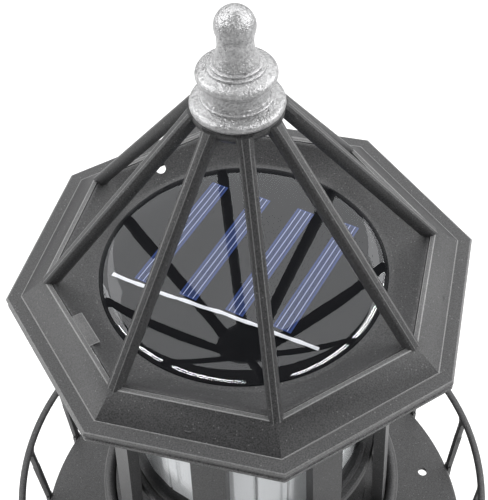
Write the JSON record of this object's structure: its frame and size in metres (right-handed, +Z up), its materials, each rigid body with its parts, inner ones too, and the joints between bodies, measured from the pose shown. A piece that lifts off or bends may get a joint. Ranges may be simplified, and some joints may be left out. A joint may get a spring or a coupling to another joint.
{
  "type": "garden lighthouse ornament",
  "caption": "Free-standing lighthouse ornament with an octagonal solar roof cage, a glazed lantern with a rotating slatted beacon, a railed gallery and a banded tapered tower.",
  "frame": {"origin": "centre of the base pad's underside, on the ground, under the tower's axis", "axes": "+Z up along the tower's axis, -Y towards the door, +X to the right of someone who faces the door"},
  "size_m": [0.1972, 0.1972, 0.65],
  "materials": {
    "dark_plastic": "fine-grained moulded plastic",
    "banded_dark": "fine-grained moulded plastic",
    "white_plastic": "fine-grained moulded plastic",
    "drum_plastic": "satin translucent white",
    "silver_paint": "silver paint, slightly mottled",
    "panel_black": "flat black",
    "panel_cells": "dark blue silicon",
    "tinned_copper": "tinned",
    "clear_resin": "clear cast resin",
    "clear_plastic": "clear",
    "dark_glazing": "gloss",
    "steel": "zinc plated",
    "brass": "satin",
    "nylon": "natural nylon",
    "led_resin": "water-clear epoxy",
    "board_green": "solder mask",
    "black_moulding": "moulded",
    "cell_jacket": "printed sleeve, bare",
    "rubber": "matt",
    "door_plastic": "fine-grained moulded plastic",
    "ballast": "cast"
  },
  "bodies": {
    "tower": {"gallery_deck": "dark_plastic", "parapet": "dark_plastic", "railing_hoop": "dark_plastic", "railing_posts": "dark_plastic", "corbel": "dark_plastic", "corbel_screws": "steel", "tower_section_1": "white_plastic", "tower_section_2": "banded_dark", "tower_section_3": "white_plastic", "tower_section_4": "banded_dark", "window_frames": "white_plastic", "window_panes": "dark_glazing", "door_frame": "dark_plastic", "door_leaf": "door_plastic", "door_knob": "brass", "plinth": "dark_plastic", "ballast_ring": "ballast", "base_plate": "dark_plastic", "base_screws": "steel", "filling_plug": "rubber", "base_pad": "rubber"},
    "lamp_head": {"finial": "silver_paint", "roof_cage": "dark_plastic", "solar_tray": "dark_plastic", "solar_backing": "panel_black", "solar_cells": "panel_cells", "cell_ribbon": "tinned_copper", "solar_dome": "clear_resin", "soffit_plate": "dark_plastic", "roof_screws": "steel", "lantern_cage": "dark_plastic", "lens_tube": "clear_plastic", "spindle_bush": "brass", "idler_pin": "steel", "beacon_motor": "steel", "gearbox_plate": "nylon", "gearbox_screws": "steel", "lamp_column": "steel", "led_collar": "drum_plastic", "led_lamps": "led_resin", "lamp_base": "dark_plastic", "lamp_screws": "steel", "circuit_board": "board_green", "board_parts": "black_moulding", "battery_box": "black_moulding", "battery_cells": "cell_jacket", "battery_contacts": "tinned_copper", "floor_gasket": "rubber", "lamp_floor": "dark_plastic", "switch_body": "black_moulding", "cover_seal": "rubber"},
    "beacon": {"beacon_drum": "drum_plastic", "beacon_spindle": "steel", "drive_gear": "nylon"},
    "idler": {"compound_gear": "nylon"},
    "motor_rotor": {"motor_shaft": "steel", "motor_pinion": "brass"},
    "switch": {"switch_slider": "black_moulding"},
    "battery_cover": {"battery_cover": "dark_plastic", "cover_screws": "steel"}
  },
  "joints": [
    {"name": "lamp_head_lift", "type": "slide", "parent": "tower", "child": "lamp_head", "axis": [0, 0, 1], "range_m": [0, 0.1]},
    {"name": "beacon_spin", "type": "hinge", "parent": "lamp_head", "child": "beacon", "pos_m": [0, 0, 0.5], "axis": [0, 0, 1], "continuous": true},
    {"name": "idler_spin", "type": "hinge", "parent": "lamp_head", "child": "idler", "pos_m": [0, 0.0192, 0.445], "axis": [0, 0, 1], "continuous": true},
    {"name": "motor_spin", "type": "hinge", "parent": "lamp_head", "child": "motor_rotor", "pos_m": [-0.01418, 0.0217, 0.435], "axis": [0, 0, 1], "continuous": true},
    {"name": "power_switch", "type": "slide", "parent": "lamp_head", "child": "switch", "axis": [1, 0, 0], "range_m": [0, 0.004]},
    {"name": "battery_cover_off", "type": "slide", "parent": "lamp_head", "child": "battery_cover", "axis": [0, 0, -1], "range_m": [0, 0.02]}
  ],
  "couplings": [
    {"joint": "idler_spin", "follows": "beacon_spin", "ratio": -3},
    {"joint": "motor_spin", "follows": "beacon_spin", "ratio": 9}
  ]
}
